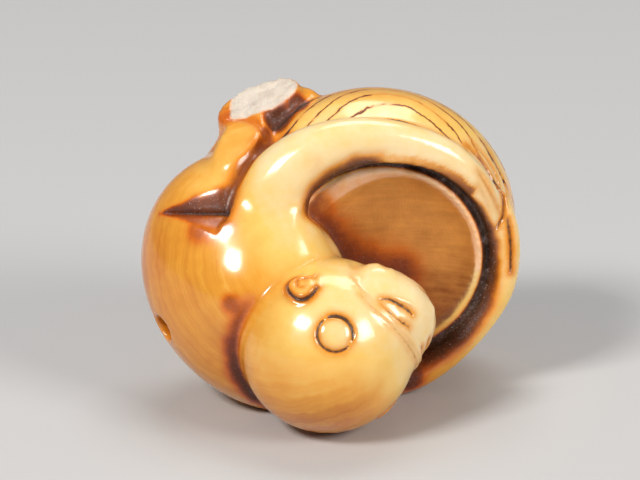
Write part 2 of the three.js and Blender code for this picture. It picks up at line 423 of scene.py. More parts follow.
def latticeNoise(points, size, seed):
    # smooth noise from 0 to 1, with features of the given size
    lattice = np.random.default_rng(seed).random((24, 24, 24))
    scaled = points / size + 11.3
    cell = np.floor(scaled).astype(int)
    share = scaled - cell
    share = share * share * (3 - 2 * share)
    total = np.zeros(len(points))
    for corner in np.ndindex(2, 2, 2):
        weight = np.prod(np.where(corner, share, 1 - share), axis=1)
        i, j, k = ((cell + corner) % 24).T
        total += weight * lattice[i, j, k]
    return total


def cloudNoise(points, size, seed):
    return (latticeNoise(points, size, seed) + latticeNoise(points, size / 2.1, seed + 1) * 0.5
            + latticeNoise(points, size / 4.3, seed + 2) * 0.25) / 1.75


def spread(values, edges, rounds):
    # averages values with their neighbours', again and again
    count = np.bincount(edges.ravel(), minlength=len(values))[:, None]
    for _ in range(rounds):
        total = np.stack([np.bincount(edges[:, 0], column[edges[:, 1]], len(values))
                          + np.bincount(edges[:, 1], column[edges[:, 0]], len(values)) for column in values.T], axis=1)
        values = 0.5 * values + 0.5 * total / count
    return values


def movePoints(piece, points):
    piece.data.vertices.foreach_set("co", points.ravel())
    piece.data.update()


def armTool(rightEnd):
    # the hollow's upper half, left of the given place, which keeps the arm clear of the groove
    far = 40
    tool = mouthHollow(clearArm=True)
    remesh(tool, carving["toolVoxel"])
    turn = math.radians(child["armTurn"])
    side, across = Vector((math.cos(turn), 0, math.sin(turn))), Vector((math.sin(turn), 0, -math.cos(turn)))
    cutWith(tool, block((-far, -far, -far), (far, 0, far), (side, across, side.cross(across)), mouthPoint(0, 0, 0)))
    cutWith(tool, block((0, -far, -far), (far, far, far), Matrix.Identity(3), (rightEnd, 0, 0)))
    return tool


def blendForms(piece):
    # melts the forms into each other where the real carving flows
    points = pointsOf(piece)
    weights = np.max([nearPoint(points, centre, reach) for centre, reach in carving["blendPlaces"]], axis=0)
    weights = np.maximum(weights, ease(*carving["blendSide"], points[:, 0]))
    softenWhere(piece, np.sqrt(weights), carving["blendRounds"])


def buildCarving():
    limbs = joinForms("limbs", [limb(alongMouth(child["leftArm"])), limb(alongMouth(child["rightArm"])),
                                ball(child["chest"]["centre"], child["chest"]["radii"]), limb(child["neck"])])
    toe = child["toeNub"]
    legs = ("leftLeg", "leftCalf", "rightLeg")
    figure = joinForms("figure", [copyForm(limbs, "figure"), backForm(), *[limb(child[name]) for name in legs],
                                  stumpForm(), ball(toe["centre"], (toe["radius"],) * 3)])
    for piece in (limbs, figure):
        remesh(piece, carving["roughVoxel"])
        blendForms(piece)
    cutWith(limbs, armTool(child["armCleared"]["limbs"]), carving["toolVoxel"])
    headPiece = headForm()
    remesh(headPiece, carving["roughVoxel"])
    finishWith(headPiece, "SMOOTH", factor=0.5, iterations=carving["headRounds"])
    print("forms blocked out")

    body = joinForms("netsukeCarving", [figure, vesselWall()])
    remesh(body, carving["roughVoxel"])
    cutWith(body, mouthHollow())
    body = joinForms("netsukeCarving", [body, limbs, headPiece])
    remesh(body, carving["fineVoxel"])
    cutWith(body, armTool(child["armCleared"]["body"]), carving["toolVoxel"])
    cutWith(body, block((0, -9, -9), (9, 9, 9), breakAxes(), child["breakFace"]["point"]))
    cutWith(body, limb(child["cordTunnel"]), carving["toolVoxel"])
    remesh(body, carving["fineVoxel"])
    finishWith(body, "SMOOTH", factor=0.5, iterations=carving["lastRounds"])
    print("forms joined,", len(body.data.vertices), "points")
    return body


# Marks cut with a graver: (width, depth, how much ink lies in it, how brown it is around), then the routes, all in
# millimetres. Those of "tufts" and "headSides" are cut on both sides. A place on the head is (azimuth from the nose
# towards the left ear, elevation over the head's middle) in degrees, round the mouth it is (angle, reach, lift) as in
# mouthPoint, and a tuft's mark is the turn round it from start to end.
strokes = {
    "tufts": {
        "tuftTop": ((0.18, 0.32, 0.78, 0.34), (-128, 62)),
        "tuftBottom": ((0.21, 0.34, 0.9, 0.4), (84, 212)),
    },
    "headSides": {
        "earRim": ((0.21, 0.42, 0.85, 0.55), [(73, -3), (75, 1.6), (78.6, 5.8), (83, 7), (87.6, 4.8), (92, -0.3),
            (95, -5.6), (94, -10), (90, -12.5)]),
        "earCurl": ((0.13, 0.24, 0.5, 0.34), [(76.5, -14.6), (78, -11.4), (83, -10.2), (87.2, -9.4), (87.2, -5.6),
            (84.9, -2.6), (82.4, -2.2)]),
        "eyelid": ((0.15, 0.3, 0.75, 0.35), [(9.5, -7), (14, -8.6), (20, -9.4), (27, -8.4), (32.5, -5.2)]),
        "eyebrow": ((0.14, 0.12, 0.6, 0.3), [(9, 0.6), (16, 3), (24, 2), (32, -2)]),
        "nostril": ((0.22, 0.25, 0.8, 0.3), [(3.4, -23), (5.4, -22.6)]),
    },
    "head": {
        "browLine": ((0.12, 0.1, 0.3, 0.12), [(-52, -16), (-46, -8), (-38, -1.6), (-29, 2.2), (-15, 6), (0, 7.6),
            (15, 6), (29, 2.2), (38, -1.6), (46, -8), (52, -16)]),
        "hairLine": ((0.12, 0.14, 0.42, 0.16), [(-47, -4), (-40, 1.4), (-33, 5.1), (-20, 8), (0, 9.9), (20, 8),
            (33, 5.1), (40, 1.4), (47, -4)]),
        "mouthLine": ((0.15, 0.3, 0.75, 0.35), [(-13, -29), (-7, -31.2), (0, -30.8), (7, -31.2), (13, -29)]),
    },
    "mouth": {
        "leftFingerA": ((0.16, 0.22, 0.3, 0.25), [(46, 14.9, 0.2), (41, 14.8, 0.1), (32, 14.3, -0.2),
            (21, 14.2, -0.9)]),
        "leftFingerB": ((0.13, 0.14, 0.2, 0.15), [(42, 13.9, 0.6), (34, 13.6, 0.4), (26, 13.4, 0.1)]),
        "handsMeet": ((0.17, 0.34, 0.45, 0.42), [(52, 15.9, -3.4), (40, 15.6, -3.2), (31, 15.1, -2.6),
            (21, 14.5, -1), (17.5, 13.7, -0.6), (16, 13.1, -0.3)]),
        "rightFingerA": ((0.16, 0.24, 0.25, 0.25), [(50, 16.1, -4.6), (36, 16, -4.4), (24, 15.8, -3.2),
            (12, 15.4, -2.4), (3, 15.1, -1.6)]),
        "rightFingerB": ((0.15, 0.2, 0.2, 0.22), [(44, 16.4, -6.4), (30, 16.1, -5.6), (16, 15.9, -4.6),
            (4, 15.6, -3.8)]),
        "rightSlit": ((0.22, 0.42, 0.62, 0.48), [(18, 14.7, -0.9), (12, 14.5, -0.6), (5, 14.35, -0.2), (-1, 14.3, 0.1),
            (-5, 14.3, 0.2)]),
        "armEdge": ((0.75, 0.55, 0, 0.55), [(158, 18.9, 3.2), (154, 19.1, 2), (147, 19.2, 0.2), (141, 19, -1.4),
            (134, 18.2, -3.6), (128, 17.5, -4.4)]),
    },
    "place": {
        "legEnd": ((0.45, 0.34, 0, 0.34), [(-11.2, 2, 14.9), (-9.5, 1.2, 15), (-8.3, 0.2, 14.6),
            (-7.3, -1.2, 13.7), (-6.8, -1.2, 12.2)]),
        "hem": ((0.14, 0.12, 0, 0.2), [(-10.9, -4.8, 7.6), (-10, -4.4, 9.5)], [(-10.4, -4.7, 8),
            (-9.6, -4.3, 9.8)], [(-10, -4.7, 8.3), (-9.1, -4.2, 10.2)]),
        "longScratch": ((0.1, 0.08, 0.4, 0.1), [(-2.1, -6.5, 9.2), (-1.7, -6, 10.5)]),
        "shortScratch": ((0.08, 0.06, 0.34, 0.05), [(-2.7, -6.8, 9.6), (-2.5, -6.2, 10.5)]),
    },
}
features = {
    "ear": {"azimuth": 85, "elevation": -3, "spread": 11.5, "height": 0.5},
    "tuftHeight": 0.16,
    "bumps": {"earHollow": (84, -6, 4, 3.4, -0.35), "eyeHollow": (20, -6.5, 10, 5, -0.42),
              "eye": (21, -7.6, 9, 3.2, 0.4),
              "upperLip": (0, -28, 11, 1.6, 0.18), "lowerLip": (0, -34, 11, 1.8, 0.18)},   # place, spreads, height
    "hairEdge": ((0, 7.6), (15, 6), (29, 2.2), (38, -1.6), (46, -8), (52, -16), (60, -26)),   # azimuth, elevation
    "browStep": 0.34, "browRidge": 0.1,
    "hip": {"tip": (-18.5, -2.4, 4.3), "end": (-10.9, -7, 4.4), "above": 3.8, "below": 3, "deep": 1.35, "crack": 0.45,
            "inwards": (0.3, 0.9, -0.1),
            "armEdge": ((1, -13.2), (2.2, -12.2), (4.2, -11.3), (6, -10.9), (8.2, -10.1))},   # z, x
    "neckCrease": {"deep": 0.7, "breadth": 1.5},
    "footRing": {"radius": 5, "breadth": 0.5, "deep": 0.35, "within": 2.2},
    "grooveRough": {"reach": 11.95, "within": 0.7, "size": 0.7, "height": 0.16},
    "breakLeft": -11,
    "breakEdge": ((-11.2, 15.4), (-10.8, 14.9), (-8, 15.5), (-6, 16.2), (-3.3, 17.6), (-2.6, 19)),   # x, z
}
detailRegions = [   # places whose faces are cut finer before carving, with how far each reaches
    ((-3.1, -11.9, -4), 3.2), ((0.5, -14.6, -8.8), 2.9), ((6.9, -11.4, -6.6), 5.2), ((9.6, -8.2, -8.6), 4.2),
    ((18.6, 0.4, 4.2), 4), ((17.6, 0.2, 8.2), 3.2), ((19.6, 1.4, -1), 2.2), ((-13.4, -5.6, 4.4), 3),
    ((-16.6, -4.2, 4.4), 2.2), ((-7.5, 2.6, 16.6), 4.4), ((-3.4, 3.4, 16.6), 2.2),
]


def headAngles(points):
    offset = points - head["centre"]
    reach = lengths(offset) + 1e-9
    ahead, left, up = (offset @ np.array(axis) for axis in (headForward, headLeft, headUp))
    return np.degrees(np.arctan2(left, ahead)), np.degrees(np.arcsin(np.clip(up / reach, -1, 1))), reach


def placesAround(points, main, side, third):
    # degrees round an axis through the mouth's centre, distance from it, and height along it
    offset = points - vessel["mouthCentre"]
    right, up, lift = (offset @ np.array(axis) for axis in (side, third, main))
    return np.degrees(np.arctan2(up, right)), np.hypot(right, up), lift


def mouthPlaces(points):
    return placesAround(points, mouthAxis, mouthRight, mouthUp)


def bowlPlaces(points):
    angle, radius, lift = placesAround(points, *frameOf(vessel["bodyAxis"], (1, 0, 0)))
    return angle, radius, -lift


def surfaceTree(piece):
    return BVHTree.FromPolygons([v.co for v in piece.data.vertices], [tuple(p.vertices) for p in piece.data.polygons])


def strokeRoutes(kind, routes, tree):
    # the points that a stroke follows on the surface, and those of its mirror image on the other side of the head
    middle, tuft = Vector(head["centre"]), head["tuft"]
    for side in (1, -1) if kind in ("tufts", "headSides") else (1,):
        for rows in routes:
            if kind == "tufts":
                out, up, across = frameOf(headDirection(tuft["azimuth"] * side, tuft["elevation"]), headUp)
                turns = [math.radians(turn) * side for turn in np.linspace(*rows, 25)]
                route = [middle + out * tuft["reach"]
                         + (up * math.cos(turn) + across * math.sin(turn)) * tuft["ringRadius"] for turn in turns]
            elif kind in ("head", "headSides"):
                places = smoothRoute([(azimuth * side, elevation) for azimuth, elevation in rows], 36)
                route = [middle + headDirection(*place) * head["markReach"] for place in places]
            elif kind == "mouth":
                route = [mouthPoint(*row) for row in smoothRoute(rows, 24)]
            else:
                route = [Vector(row) for row in smoothRoute(rows, 16)]
            yield np.array([tree.find_nearest(point)[0] for point in route])


def cutFiner(body):
    # smaller faces where the carving is fine
    centres = valuesOf(body.data.polygons, "center", 3)
    wanted = np.zeros(len(centres), bool)
    for centre, reach in detailRegions:
        wanted |= lengths(centres - centre) < reach
    angle, reach, lift = mouthPlaces(centres)
    wanted |= (reach > 10.4) & (reach < 12.7) & (lift > -2.4) & (lift < 1.2)
    wanted |= (reach > 8.4) & (reach < 11) & (lift > -2.2) & (lift < 0.5) & (angle > 80) & (angle < 165)
    selectOnly(body)
    body.data.polygons.foreach_set("select", wanted)
    bpy.ops.object.mode_set(mode="EDIT")
    bpy.ops.mesh.select_mode(type="FACE")
    bpy.ops.object.mode_set(mode="OBJECT")
    body.data.polygons.foreach_set("select", wanted)
    bpy.ops.object.mode_set(mode="EDIT")
    bpy.ops.mesh.subdivide(number_cuts=1, smoothness=0)
    bpy.ops.object.mode_set(mode="OBJECT")
    selected = np.zeros(len(body.data.vertices), bool)
    body.data.vertices.foreach_get("select", selected)
    softenWhere(body, selected.astype(float), 2)
    print("cut finer to", len(body.data.vertices), "points")


def carveHead(points):
    # relief of the ears, tufts and face: how far each point moves outwards
    azimuth, elevation, reach = headAngles(points)
    side, ear = np.abs(azimuth), features["ear"]
    fromEar = np.hypot((side - ear["azimuth"]) / ear["spread"], (elevation - ear["elevation"]) / ear["spread"])
    move = ear["height"] * fade(0.55, 1.25, fromEar)
    for hand in (1, -1):
        tuft = headDirection(head["tuft"]["azimuth"] * hand, head["tuft"]["elevation"])
        middle = np.array(head["centre"]) + np.array(tuft) * head["radius"]
        gap = lengths(points - middle) / head["tuft"]["ringRadius"]
        move += features["tuftHeight"] * fade(0.5, 1, gap)
    for azimuthAt, elevationAt, wide, tall, height in features["bumps"].values():
        move += height * np.exp(-((side - azimuthAt) / wide) ** 2 - ((elevation - elevationAt) / tall) ** 2)
    edge = np.interp(side, *zip(*features["hairEdge"]))
    below = (edge - elevation) * math.radians(head["radius"])
    inFace = 1 - ease(50, 58, side)
    move -= features["browStep"] * ease(0, 0.5, below) * fade(2.5, 6.5, below) * inFace
    move += features["browRidge"] * np.exp(-((below + 0.45) / 0.35) ** 2) * inFace
    return move * fade(11.4, 12.4, reach)


def carveHip(points):
    # a V-shaped fold that widens from its tip towards the arm; returns the cut's depth and the place across it
    hip = features["hip"]
    tip, end = np.array(hip["tip"]), np.array(hip["end"])
    length = np.linalg.norm(end - tip)
    share = (points - tip) @ ((end - tip) / length) / length
    above = points[:, 2] - (tip[2] + (end[2] - tip[2]) * np.clip(share, 0, 1))
    opening = np.clip(share, 0, 1.2)
    half = np.where(above > 0, 0.25 + hip["above"] * opening, 0.2 + hip["below"] * opening ** 1.5)
    across = np.abs(above) / half
    fromArm = points[:, 0] - np.interp(points[:, 2], *zip(*hip["armEdge"]))
    clear = fade(-0.5, 0.25, fromArm) * (points[:, 1] < 0) * ease(-0.12, 0.02, share)
    deep = hip["deep"] * opening ** 0.9 * fade(0, 1, across) * clear
    crack = hip["crack"] * np.exp(-(above / 0.28) ** 2) * ease(0, 0.2, opening) * clear
    return deep + crack, np.where(clear > 0.3, np.sign(above) * across, 9), opening


def carveNeck(points, normals):
    # the crease behind the head
    crease = features["neckCrease"]
    azimuth, elevation, reach = headAngles(points)
    turn = azimuth % 360
    beside = np.exp(-((reach - head["radius"] - 0.55) / crease["breadth"] * 1.6) ** 2)
    behind = ease(112, 128, turn) * fade(215, 245, turn) * ease(-12, 4, elevation)
    offHead = ease(9.75, 10.1, reach)
    return points - normals * (crease["deep"] * beside * behind * offHead)[:, None]


def carveBreak(points, normals):
    # which points lie on the broken face, and how far its chips raise them
    normal = np.array(breakAxes()[0])
    fromBreak = points - child["breakFace"]["point"]
    onFace = (np.abs(fromBreak @ normal) < 0.45) & (normals @ normal > 0.6) & (lengths(fromBreak) < 8)
    lowerEdge = np.interp(points[:, 0], *zip(*features["breakEdge"])) + (latticeNoise(points, 1.4, 14) - 0.5) * 0.5
    onFace &= (points[:, 2] > lowerEdge - 0.1) & (points[:, 0] > features["breakLeft"])
    chips = np.abs(cloudNoise(points, 3.2, 9) - 0.5) * 0.9 + (cloudNoise(points, 0.8, 12) - 0.5) * 0.15 - 0.15
    return onFace, normal * (chips * onFace)[:, None]


def carveDetails(body):
    cutFiner(body)
    points, normals = pointsOf(body), normalsOf(body)
    move = carveHead(points)
    hipCut, hipAcross, hipOpening = carveHip(points)
    points = points + normals * move[:, None] + hipCut[:, None] * np.array(features["hip"]["inwards"])
    points = carveNeck(points, normals)

    _, reach, lift = mouthPlaces(points)
    _, bowlRadius, depth = bowlPlaces(points)
    ring, rough = features["footRing"], features["grooveRough"]
    foot = np.exp(-((bowlRadius - ring["radius"]) / ring["breadth"]) ** 2) * (depth > vessel["height"] - ring["within"])
    inGroove = (np.abs(reach - rough["reach"]) < rough["within"]) & (lift < -0.5) & (lift > -3)
    uneven = (cloudNoise(points, rough["size"], 5) - 0.5) * rough["height"] * inGroove - ring["deep"] * foot
    onBreak, chips = carveBreak(points, normals)
    points = points + normals * uneven[:, None] + chips
    movePoints(body, points)

    tree = surfaceTree(body)
    normals = normalsOf(body)
    ink, halo, offset = (np.zeros(len(points)) for _ in range(3))
    for kind, stroke in [(kind, stroke) for kind, group in strokes.items() for stroke in group.values()]:
        (width, depth, darkness, brownness), *routes = stroke
        for route in strokeRoutes(kind, routes, tree):
            gap, place = routeGap(points, route)
            taper = 0.45 + 0.55 * np.sqrt(np.clip(np.minimum(place, 1 - place) / 0.22, 0, 1))
            share = gap / (width * taper)
            offset = np.minimum(offset, -depth * taper * np.exp(-share ** 2))
            ink = np.maximum(ink, darkness * np.exp(-share ** 2 * 0.8))
            halo = np.maximum(halo, brownness * np.exp(-(gap / (0.4 + width)) ** 2))
    movePoints(body, points + normals * offset[:, None])
    print("details carved")
    return {"ink": ink, "halo": halo, "hipAcross": hipAcross, "hipOpening": hipOpening,
            "onBreak": onBreak.astype(float)}


# Colour of the ivory by place, from 0, creamy and rubbed pale, to 1, deep amber; the places low under the head are
# painted shade. The reach is in millimetres.
tones = {
    "reach": 5.5,
    "places": [((-8.5, -8, 5.5), 0.1), ((-5, -7.5, 9.5), 0.04), ((0, -5.5, 13), 0.03), ((6, -4.5, 13.2), 0.04),
               ((12, -2.5, 10.5), 0.06), ((17, -1, 6.5), 0.1), ((-3.5, -8, 4), 0.3), ((-8.5, -9.5, -1.5), 0.55),
               ((-12.5, -8, -3), 0.85), ((-15.5, -6, 0), 0.8), ((-19.5, -1, 0), 0.95), ((-17, -3, -9), 0.85),
               ((-13, -4, -12.5), 0.85), ((-12, -3, 9), 0.5), ((-10, 0, 13), 0.42), ((-11.5, 2.5, 16), 1),
               ((-12.5, 5, 14), 0.95),
               ((-16, -1, 7), 0.7), ((-7.5, -9, -9), 0.55), ((-4, -12.5, -11), 0.36), ((0.5, -14.6, -9), 0.1),
               # the head's underside near the floor, at tone 1 and 0.9, is painted shade where it turns away from the
               # light
               ((5.5, -13, -9.5), 0), ((7, -9.5, -12.5), 0.08), ((0, -12, -16), 1), ((-5, -8, -16), 1),
               ((4.5, -11.5, -15), 0.9),
               ((3, -9, -1.8), 0.3), ((9.5, -8, -5.5), 0.03), ((20.3, 1.5, 0), 0.2), ((19, 3, -5.5), 0.3),
               ((15, 4, -10.5), 0.5), ((9.5, 4.5, -14.5), 0.8), ((3, -1, 16), 0.66), ((12, 1.5, 15), 0.6),
               ((5, 12, 16), 0.8), ((19, 8, 4), 0.65), ((14, 16, 0), 0.75), ((5, 18.5, 3), 0.8),
               ((-12, 12, 0), 0.85), ((-6, 13, -8), 0.75), ((8, 12, -10), 0.6)],
}


# Where brown stain gathers, and where shade is painted on the arm's edge over the groove and in the dish under the
# chest and head, with its level from 0 to 1.
stainsAndShade = {
    "hollows": [(26, (0.01, 0.26), 0.62), (90, (0.06, 0.6), 0.5)],   # rounds, depths from none to full, level
    "onHead": 0.35,
    "headReach": 10.9,
    # armShade and the arm's wall levels paint shade: a dark band on the arm's inner edge and its wall, where they drop
    # into the groove
    "armShade": ((90, 11.4), (111, 11.35), (121, 11.2), (131, 11.1), (139, 10.6), (146, 9.9), (152, 9.4)),   # turn, reach
    "armShadeLevel": 0.84, "armWallShadeLevel": 0.74,
    "spots": [((-10.6, -8.6, -5.4), 1.5, 0.5), ((-11.6, 2.2, 15.6), 2, 0.34), ((-13.6, -6.2, 2.6), 2.3, 0.4),
              ((-11.6, -7.2, 2.8), 1.8, 0.44), ((-5.6, 2.2, 14.4), 2.9, 0.78), ((-3.6, 2.6, 16.3), 1.8, 0.7),
              ((-7, -0.6, 13), 1.3, 0.6), ((9.6, -7.4, -9.2), 1.1, 0.55), ((8.9, 4.4, -13.6), 2.4, 0.75)],
    # the well's patch is partly stain and partly painted shade where the chest and head overhang the dish
    "well": {"level": 0.58, "edge": [(-2.8, 0, 5.5), (-1.5, 0, 3), (2, 0, -0.8), (5, 0, -1.8), (7.5, 0, -2.6)]},
    "ring": {"centre": (1.6, -1.1, 6.2), "radius": 0.4, "breadth": 0.22, "level": 0.4},
    "blurRounds": 5, "blurShare": 0.65,
}


def toneAt(points):
    weights, total = np.full(len(points), 1e-9), np.zeros(len(points))
    for place, tone in tones["places"]:
        weight = np.exp(-np.sum((points - place) ** 2, axis=1) / tones["reach"] ** 2)
        weights, total = weights + weight, total + weight * tone
    return total / weights


def hollowStain(points, normals, edges, onHead):
    # how far a point lies below its surroundings, at two sizes
    levels = []
    for rounds, depths, level in stainsAndShade["hollows"]:
        sunk = np.sum((spread(points, edges, rounds) - points) * normals, axis=1)
        levels.append(ease(*depths, sunk) * level)
    return np.maximum(*levels) * np.where(onHead, stainsAndShade["onHead"], 1)


def mouthStainAndShade(points, clouds, onHead):
    # the groove and its fringe, which is broadest at the lower right, and painted shade: a dark band on the arm's inner
    # edge over the groove, and darkening down the arm's wall towards it
    angle, reach, lift = mouthPlaces(points)
    lowerRight = np.clip(np.cos(np.radians(angle + 48)), 0, 1)
    fringe = 0.8 + 1.3 * lowerRight + (clouds - 0.5) * 0.8
    nearMouth = (lift < 0.9 + 0.25 * (reach - vessel["mouthRadius"])) & (lift > -4)
    inner = 1 - ease(0, 1, (reach - 12.25) / fringe)
    band = ease(11.05, 11.4, reach) * np.where(reach < 12.2, 1, inner * 0.86)
    # painted shade: the arm's wall darkens towards the groove, and its inner edge gets a dark band where the groove
    # lies behind it
    armWall = (reach > 11.4) & (reach < 13.4) & (angle > 40) & (angle < 152) & (lift > -1) & (points[:, 1] < 1.5)
    wallShade = stainsAndShade["armWallShadeLevel"] * fade(0.1, 2.4, lift + (clouds - 0.5) * 0.5)
    right, _, up = (points - vessel["mouthCentre"]).T
    turn = np.degrees(np.arctan2(up, right))
    outside = np.hypot(right, up) - np.interp(turn, *zip(*stainsAndShade["armShade"]))
    onArm = (turn > 84) & (turn < 152) & (outside > -2.6) & (lift > 0.2) & (points[:, 1] < 2) & ~onHead
    shade = stainsAndShade["armShadeLevel"] * fade(-0.3, 1.4, outside + (clouds - 0.5) * 0.5)
    shade *= onArm * ease(84, 96, turn) * fade(144, 152, turn)
    return np.maximum.reduce([band * nearMouth * ~onHead, armWall * wallShade, shade])


def hipStain(across, ragged):
    upper = fade(0.6, 1.12, across + ragged) * (0.76 - 0.14 * np.clip(across, 0, 1))
    lower = fade(0.5, 1.2, -across + ragged) * 0.52
    return np.maximum(upper * ((across > 0) & (across < 1.15)), lower * ((across < 0) & (across > -1.25)))


def neckStain(points, ragged):
    azimuth, elevation, reach = headAngles(points)
    turn = azimuth % 360
    beside = ease(9.6, 10, reach) * fade(0.6, 2.6, reach - head["radius"] + ragged * 1.6)
    behind = ease(108, 126, turn) * fade(232, 262, turn) * ease(-12, 4, elevation)
    return beside * behind * (0.5 + 0.4 * ease(5, 18, elevation))


def spotStain(points, ragged):
    level = np.zeros(len(points))
    for centre, size, darkness in stainsAndShade["spots"]:
        gap = lengths(points - centre) / size + ragged
        level = np.maximum(level, darkness * fade(0.45, 1.15, gap))
    return level


def dishStainAndShade(points, ragged, onHead):
    # a dark patch along the chest, seen from the front, partly stain and partly painted shade where the chest and head
    # overhang the dish, and a small stain ring
    _, reach, lift = mouthPlaces(points)
    inWell = (reach < 10.8) & (lift < -0.3) & ~onHead
    gap, _ = routeGap(points * (1, 0, 1), np.array(stainsAndShade["well"]["edge"]))
    stainAndShadePatch = stainsAndShade["well"]["level"] * fade(0.6, 4.6, gap + ragged * 4)
    ring = stainsAndShade["ring"]
    gap = lengths(points - ring["centre"]) - ring["radius"]
    return inWell * np.maximum(stainAndShadePatch, ring["level"] * np.exp(-(gap / ring["breadth"]) ** 2))


def paintMasks(body, marks):
    # one number a point for each thing that the ivory's finish goes by
    points, normals, edges = pointsOf(body), normalsOf(body), edgesOf(body)
    clouds = cloudNoise(points, 1.6, 21)
    ragged = (clouds - 0.5) * 0.5
    onHead = headAngles(points)[2] < stainsAndShade["headReach"]
    across, opening = marks["hipAcross"], marks["hipOpening"]
    # this mask also carries the painted shade of the arm's edge over the groove and of the dish under the chest and
    # head
    stain = np.maximum.reduce([hollowStain(points, normals, edges, onHead), marks["halo"],
                               mouthStainAndShade(points, clouds, onHead), hipStain(across, ragged), neckStain(points, ragged),
                               spotStain(points, ragged), dishStainAndShade(points, ragged, onHead)])
    blurred = spread(stain[:, None], edges, stainsAndShade["blurRounds"])[:, 0]
    stain = stain + (blurred - stain) * stainsAndShade["blurShare"]
    stain = np.maximum(stain, np.exp(-(across / 0.13) ** 2) * ease(0.02, 0.2, opening) * 0.95)

    bowlAngle, bowlRadius, depth = bowlPlaces(points)
    wall = np.array(wallProfile())
    onBowl = 1 - ease(0.3, 0.6, np.abs(bowlRadius - np.interp(depth, wall[:, 1], wall[:, 0])))
    onBowl *= ease(2.2, 3.2, depth) * (1 - marks["onBreak"]) * ~onHead
    grain = depth + 3.6 * (1 - np.cos(3 * np.radians(bowlAngle - 86))) + (latticeNoise(points, 5, 31) - 0.5) * 1.6

    angle, reach, lift = mouthPlaces(points)
    inDish = (reach < 10.5) & (lift < -0.42) & (lift > -4.2) & (normals @ np.array(mouthAxis) > 0.4)
    broad = vessel["broadLip"]
    rim = vessel["lipRadius"] - broad["breadth"] * lipBroadness(np.radians(angle - broad["angle"]))
    onLip = (reach > rim - 0.9) & (reach < 11.5) & (lift > -0.85) & (lift < 0.2) & ~onHead
    masks = {"tone": toneAt(points), "stain": np.clip(stain, 0, 1), "ink": np.clip(marks["ink"], 0, 1), "bowl": onBowl,
             "grain": grain, "dish": inDish.astype(float), "lip": onLip.astype(float), "broken": marks["onBreak"]}
    for name, values in masks.items():
        if name in ("dish", "lip", "broken"):
            values = spread(values[:, None], edges, 2)[:, 0]
        attribute = body.data.attributes.new(name, "FLOAT", "POINT")
        attribute.data.foreach_set("value", values.astype(np.float32))
    print("masks painted")


def placeOnFloor(piece):
    # leans the carving back, brings it to metres and centres it over the frame's own box
    low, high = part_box("netsuke")
    lean = Matrix.Rotation(-carving["leanBack"], 4, "X")
    piece.data.transform(Matrix.Scale(0.001, 4) @ lean)
    points = pointsOf(piece)
    points[:, 2] = np.maximum(points[:, 2], carving["floorHeight"] * 0.001)   # worn flat where it rests
    movePoints(piece, points)
    centre = (points.max(axis=0) + points.min(axis=0)) / 2
    shift = Vector(((low.x + high.x) / 2 - centre[0], (low.y + high.y) / 2 - centre[1], -carving["floorHeight"] * 0.001))
    piece.data.transform(Matrix.Translation(shift))
    return shift


body = buildCarving()
marks = carveDetails(body)
paintMasks(body, marks)
shift = placeOnFloor(body)
print("set down on the floor")
for polygon in body.data.polygons:
    polygon.use_smooth = True
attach(body, "root")
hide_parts("netsuke")


class Wire:
    # one output socket of a node tree, so that masks can be written as sums and products
    def __init__(self, finish, socket):
        self.finish, self.socket = finish, socket

    def maths(self, operation, *others):
        return self.finish.node("Math", {"operation": operation}, dict(enumerate((self, *others))))

    def __add__(self, other):
        return self.maths("ADD", other)

    def __sub__(self, other):
        return self.maths("SUBTRACT", other)

    def __mul__(self, other):
        return self.maths("MULTIPLY", other)

    def __truediv__(self, other):
        return self.maths("DIVIDE", other)

    def __rsub__(self, other):
        return self.finish.node("Math", {"operation": "SUBTRACT"}, {0: other, 1: self})

    __radd__, __rmul__ = __add__, __mul__

    def ease(self, low, high):
        # runs smoothly from 0 to 1 while this goes from low to high
        return self.finish.node("MapRange", {"interpolation_type": "SMOOTHSTEP"}, {0: self, 1: low, 2: high})


class Finish:
    # a material under construction
    def __init__(self, name):
        self.material = bpy.data.materials.new(name)
        self.material.use_nodes = True
        self.tree = self.material.node_tree
        self.shader = self.tree.nodes["Principled BSDF"]

    def node(self, kind, settings=None, values=None, output=0):
        made = self.tree.nodes.new("ShaderNode" + kind)
        for key, value in (settings or {}).items():
            if key == "stops":
                ramp = made.color_ramp
                while len(ramp.elements) < len(value):
                    ramp.elements.new(0.5)
                for element, (place, colour) in zip(ramp.elements, value):
                    element.position, element.color = place, colour
            else:
                setattr(made, key, value)
        for key, value in (values or {}).items():
            self.feed(made.inputs[key], value)
        return Wire(self, made.outputs[output])

    def feed(self, socket, value):
        if isinstance(value, Wire):
            self.tree.links.new(value.socket, socket)
        else:
            socket.default_value = value

    def mask(self, name):
        return self.node("Attribute", {"attribute_name": name}, output=2)

    def blend(self, share, first, second, way="MIX"):
        return self.node("Mix", {"data_type": "RGBA", "blend_type": way}, {0: share, 6: first, 7: second}, 2)

    def ramp(self, level, stops):
        return self.node("ValToRGB", {"stops": [(at, tint(code)) for at, code in stops]}, {0: level})

    def noise(self, place, scale, detail, roughness):
        values = {"Vector": place, "Scale": scale, "Detail": detail, "Roughness": roughness}
        return self.node("TexNoise", None, values)

    def along(self, place, direction):
        return self.node("VectorMath", {"operation": "DOT_PRODUCT"}, {0: place, 1: tuple(direction)}, 1)

    def joined(self, x, y, z=0):
        return self.node("CombineXYZ", None, {0: x, 1: y, 2: z})


def tint(code):
    # a colour given as six hexadecimal digits, as the linear values that sockets take
    parts = [int(code[i:i + 2], 16) / 255 for i in (0, 2, 4)]
    return (*[part / 12.92 if part <= 0.04045 else ((part + 0.055) / 1.055) ** 2.4 for part in parts], 1)


def leaned(direction):
    return Matrix.Rotation(-carving["leanBack"], 3, "X") @ Vector(direction)


